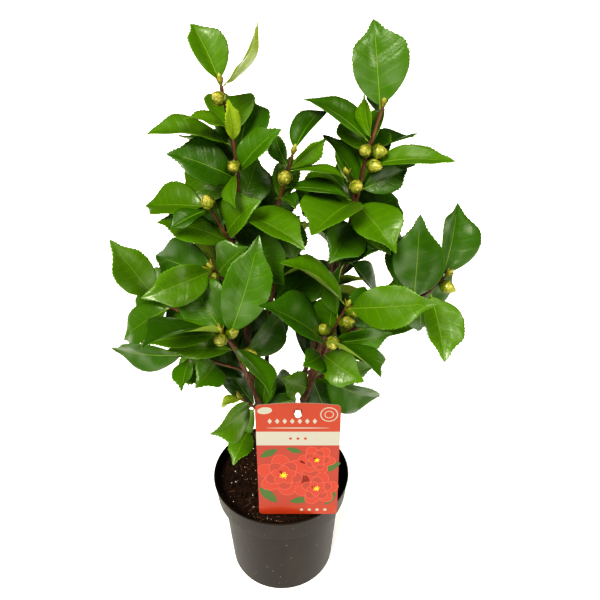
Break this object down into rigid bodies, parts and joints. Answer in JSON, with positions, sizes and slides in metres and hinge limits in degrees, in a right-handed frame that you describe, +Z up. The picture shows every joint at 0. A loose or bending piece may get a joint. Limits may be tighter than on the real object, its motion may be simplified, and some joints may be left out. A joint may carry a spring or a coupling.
{
  "type": "potted camellia shrub",
  "caption": "Evergreen camellia shrub with pointed oval leaves, slim stems and closed buds, in a round tapered nursery pot with a picture label on a stake.",
  "frame": {"origin": "middle of the pot's flat underside", "axes": "+Z up, -Y towards the front, the side that the label faces, +X to the right seen from the front"},
  "size_m": [0.3738, 0.2829, 0.667],
  "materials": {
    "pot_plastic": "satin dark grey plastic",
    "potting_soil": "dark brown peat with white specks",
    "bark": "thin grey-brown to reddish brown bark",
    "foliage": "waxy leaves, darker above than below",
    "label_print": "printed card with a gloss film",
    "stake_plastic": "white moulded plastic"
  },
  "bodies": {
    "root": {"pot": "pot_plastic", "potting_soil": "potting_soil", "trunk": "bark", "back_left_bough": "bark", "back_right_bough": "bark", "far_left_bough": "bark", "far_right_bough": "bark", "front_left_bough": "bark", "front_right_bough": "bark", "left_leader": "bark", "middle_leader": "bark", "right_leader": "bark", "foliage_back_left": "foliage", "foliage_back_left_low": "foliage", "foliage_back_left_upper": "foliage", "foliage_back_middle": "foliage", "foliage_back_right": "foliage", "foliage_back_right_low": "foliage", "foliage_back_right_upper": "foliage", "foliage_far_left": "foliage", "foliage_far_right": "foliage", "foliage_front_left": "foliage", "foliage_front_right": "foliage", "foliage_left_inner": "foliage", "foliage_left_low": "foliage", "foliage_left_middle": "foliage", "foliage_left_top": "foliage", "foliage_left_upper": "foliage", "foliage_middle_low": "foliage", "foliage_middle_top": "foliage", "foliage_right_low": "foliage", "foliage_right_middle": "foliage", "foliage_right_top": "foliage", "foliage_skirt_left": "foliage", "foliage_soil_left": "foliage", "label_card": "label_print", "label_stake": "stake_plastic"}
  },
  "joints": []
}
